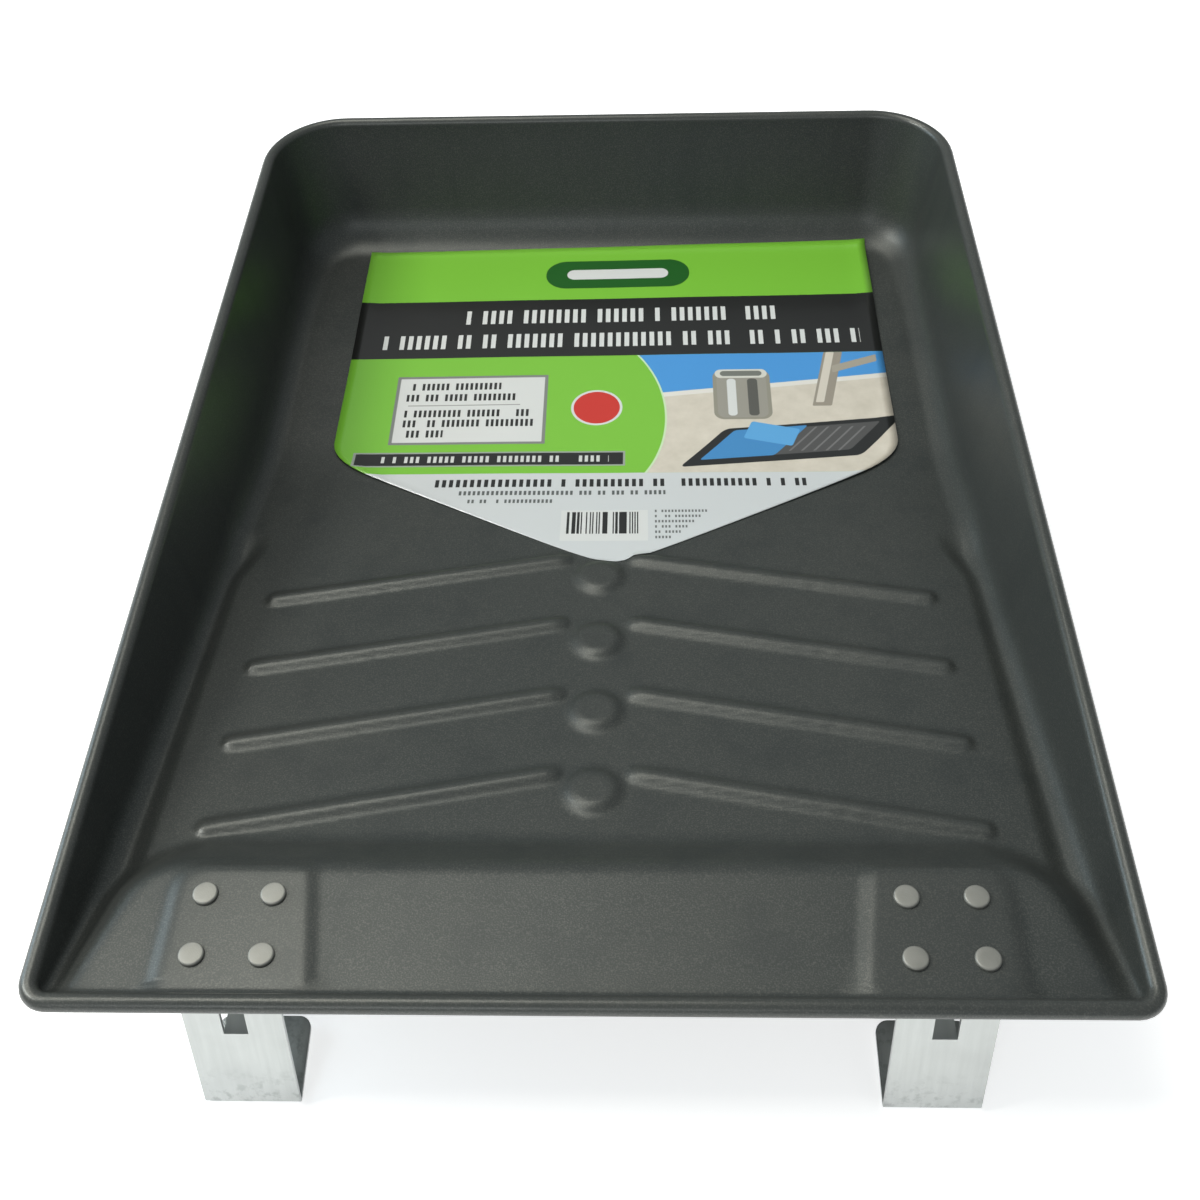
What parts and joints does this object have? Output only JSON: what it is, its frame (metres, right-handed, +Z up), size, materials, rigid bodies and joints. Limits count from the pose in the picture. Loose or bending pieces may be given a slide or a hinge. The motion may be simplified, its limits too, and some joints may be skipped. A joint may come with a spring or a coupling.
{
  "type": "paint roller tray",
  "caption": "Pressed steel paint roller tray: a deep well, a ribbed ramp up to a flat shelf, a rolled rim, and two riveted strip legs that stand or hook.",
  "frame": {"origin": "on the standing surface, below the middle of the tray's outline (the legs' front fold to the back of the rim)", "axes": "+Z up, +Y from the legged shelf end to the deep well end, +X to the right seen from the shelf end"},
  "size_m": [0.28, 0.396, 0.052],
  "materials": {
    "tray_steel": "dull grey coated sheet steel with a fine metallic speckle",
    "leg_zinc": "bright zinc-plated strip steel, lightly scuffed",
    "rivet_aluminium": "bare aluminium, slightly dulled",
    "label_paper": null
  },
  "bodies": {
    "root": {"tray_pan": "tray_steel", "left_leg": "leg_zinc", "right_leg": "leg_zinc", "left_rivet_front_outer": "rivet_aluminium", "left_rivet_front_inner": "rivet_aluminium", "left_rivet_back_outer": "rivet_aluminium", "left_rivet_back_inner": "rivet_aluminium", "right_rivet_front_outer": "rivet_aluminium", "right_rivet_front_inner": "rivet_aluminium", "right_rivet_back_outer": "rivet_aluminium", "right_rivet_back_inner": "rivet_aluminium", "product_label": "label_paper"}
  },
  "joints": []
}
